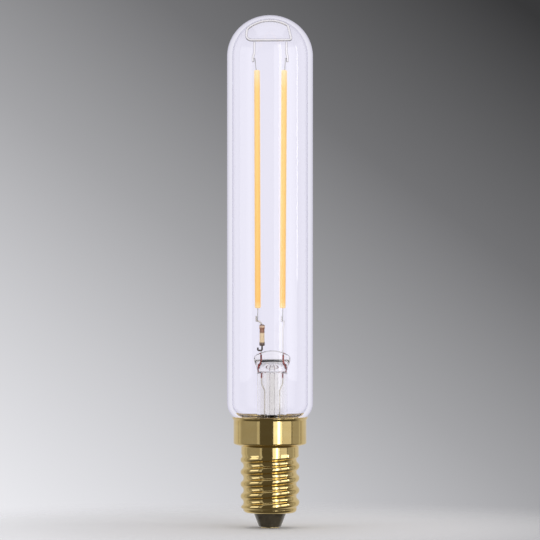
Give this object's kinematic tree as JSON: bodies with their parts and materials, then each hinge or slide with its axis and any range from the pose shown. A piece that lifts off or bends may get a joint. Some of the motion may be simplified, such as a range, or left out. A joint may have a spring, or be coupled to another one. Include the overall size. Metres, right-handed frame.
{
  "type": "tubular led filament lamp",
  "caption": "Clear tubular LED filament lamp with a round top and a small Edison screw cap, to be screwed into a lamp holder.",
  "frame": {"origin": "on the lamp's axis, at the bottom face of the centre contact", "axes": "+Z along the lamp's axis from the cap to the glass dome, the two filaments side by side along X, -Y the front"},
  "size_m": [0.02, 0.02, 0.1195],
  "materials": {
    "clear_glass": "clear gloss",
    "stem_glass": "clear gloss",
    "brass": "bright rolled sheet",
    "contact_metal": "satin",
    "black_glass": "gloss",
    "nickel_wire": "satin wire",
    "tinned_wire": "satin wire",
    "copper_clad": "red seal colour",
    "tab_metal": "satin",
    "phosphor_silicone": "soft matt",
    "carrier_ceramic": "matt",
    "chip": "gloss",
    "resistor_body": "painted",
    "solder": "dull bright",
    "cement": "matt",
    "board": "matt",
    "moulded_black": "matt",
    "insulated_wire": "matt"
  },
  "bodies": {
    "root": {"glass_envelope": "clear_glass", "glass_stem": "stem_glass", "top_hoop": "nickel_wire", "left_top_link": "nickel_wire", "right_top_link": "nickel_wire", "left_top_tab": "tab_metal", "right_top_tab": "tab_metal", "left_filament_coat": "phosphor_silicone", "right_filament_coat": "phosphor_silicone", "left_filament_carrier": "carrier_ceramic", "right_filament_carrier": "carrier_ceramic", "left_led_chips": "chip", "right_led_chips": "chip", "left_bottom_tab": "tab_metal", "right_bottom_tab": "tab_metal", "ballast_resistor": "resistor_body", "resistor_top_lead": "tinned_wire", "resistor_bottom_lead": "tinned_wire", "left_lead_in": "nickel_wire", "right_lead_in": "nickel_wire", "left_dumet_seal": "copper_clad", "right_dumet_seal": "copper_clad", "left_outer_lead": "tinned_wire", "right_outer_lead": "tinned_wire", "cap_shell": "brass", "cap_insulator": "black_glass", "centre_contact": "contact_metal", "contact_solder": "solder", "basing_cement": "cement", "driver_board": "board", "bridge_rectifier": "moulded_black", "driver_chip": "moulded_black", "chip_resistors": "moulded_black", "live_wire": "insulated_wire", "neutral_wire": "tinned_wire"}
  },
  "joints": []
}
